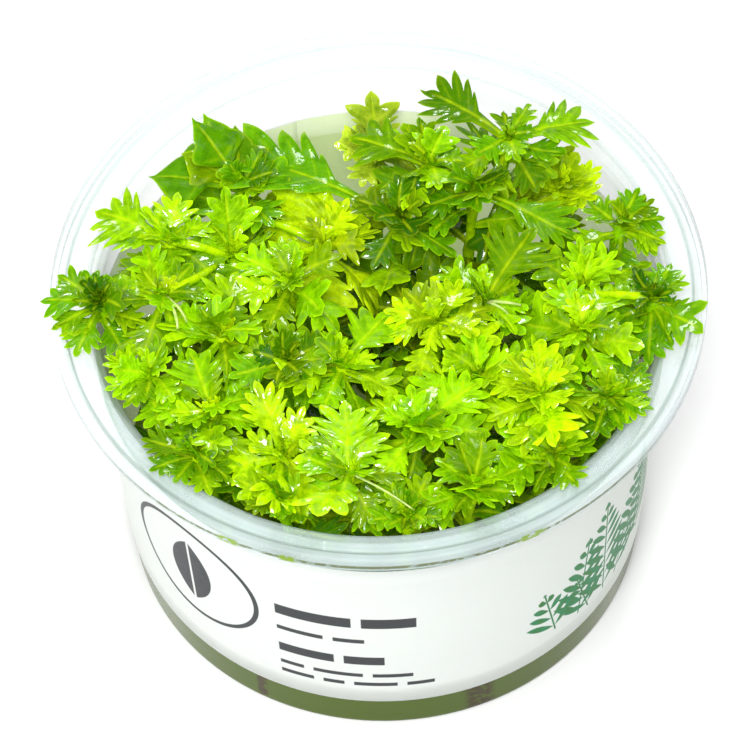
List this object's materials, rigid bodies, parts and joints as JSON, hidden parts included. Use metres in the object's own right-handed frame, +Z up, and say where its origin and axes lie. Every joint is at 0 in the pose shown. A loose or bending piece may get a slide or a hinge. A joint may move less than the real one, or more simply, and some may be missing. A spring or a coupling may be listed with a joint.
{
  "type": "water violet tissue culture cup",
  "caption": "Clear round tissue culture cup with a wide flange and a wrap-round label, holding lobed-leaf water violet plantlets on a bed of gel.",
  "frame": {"origin": "centre of the cup's flat base", "axes": "+Z up along the cup's axis, -Y towards the label's printed front, +X to the right of that front"},
  "size_m": [0.1014, 0.1, 0.0703],
  "materials": {
    "clear_plastic": "clear moulded plastic, slightly milky at the edges",
    "label_film": "satin white printed film",
    "gel": "moist olive jelly",
    "leaf": "wet living leaf"
  },
  "bodies": {
    "root": {"cup": "clear_plastic", "label": "label_film", "gel": "gel", "plantlet_left_rim": "leaf", "plantlet_upper_left": "leaf", "plantlet_broad_left": "leaf", "plantlet_left_middle": "leaf", "plantlet_pale_upright": "leaf", "plantlet_crinkled": "leaf", "plantlet_deep_yellow": "leaf", "plantlet_dark_rosette": "leaf", "plantlet_middle": "leaf", "plantlet_bright_rosette": "leaf", "plantlet_great_leaf": "leaf", "plantlet_back_fan": "leaf", "plantlet_back_yellow": "leaf", "plantlet_top_pair": "leaf", "plantlet_long_leaf": "leaf", "plantlet_back_right": "leaf", "plantlet_right_upper": "leaf", "plantlet_right_dark": "leaf", "plantlet_curly": "leaf", "plantlet_fan": "leaf", "plantlet_right_middle": "leaf", "plantlet_right_droop": "leaf", "plantlet_bright_right": "leaf", "plantlet_yellow_node": "leaf", "plantlet_broad_middle": "leaf", "plantlet_front_upright": "leaf", "plantlet_wet": "leaf", "plantlet_front_right": "leaf", "plantlet_left_node": "leaf", "plantlet_left_low": "leaf", "plantlet_left_droop": "leaf", "plantlet_front_left": "leaf", "plantlet_front_middle": "leaf", "plantlet_inner_low": "leaf", "plantlet_inner_left": "leaf", "plantlet_inner_front": "leaf"}
  },
  "joints": []
}
